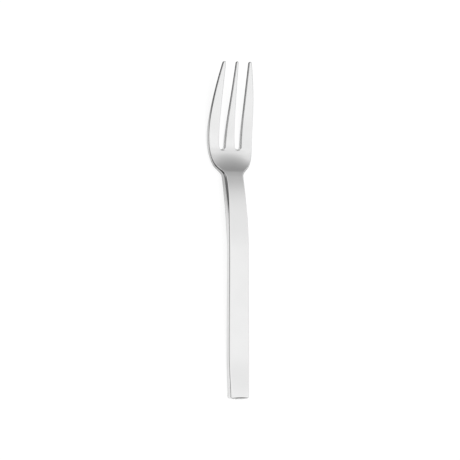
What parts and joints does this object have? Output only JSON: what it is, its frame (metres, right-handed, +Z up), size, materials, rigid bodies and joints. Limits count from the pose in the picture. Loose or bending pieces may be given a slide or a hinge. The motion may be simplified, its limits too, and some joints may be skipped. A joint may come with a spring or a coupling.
{
  "type": "pastry fork",
  "caption": "Pastry fork with a flat bar handle, a thick bent neck and a dished head with long tapering tines, in one piece of polished stainless steel.",
  "frame": {"origin": "centre of the bounding box's bottom face: on the table that the fork lies on, tines up", "axes": "+Y runs from the butt of the handle to the tips of the tines, +X lies across the fork, +Z is up"},
  "size_m": [0.0224, 0.1536, 0.0142],
  "materials": {
    "polished_steel": "bright polished stainless steel with a fine lengthwise grain"
  },
  "bodies": {
    "root": {"fork": "polished_steel"}
  },
  "joints": []
}
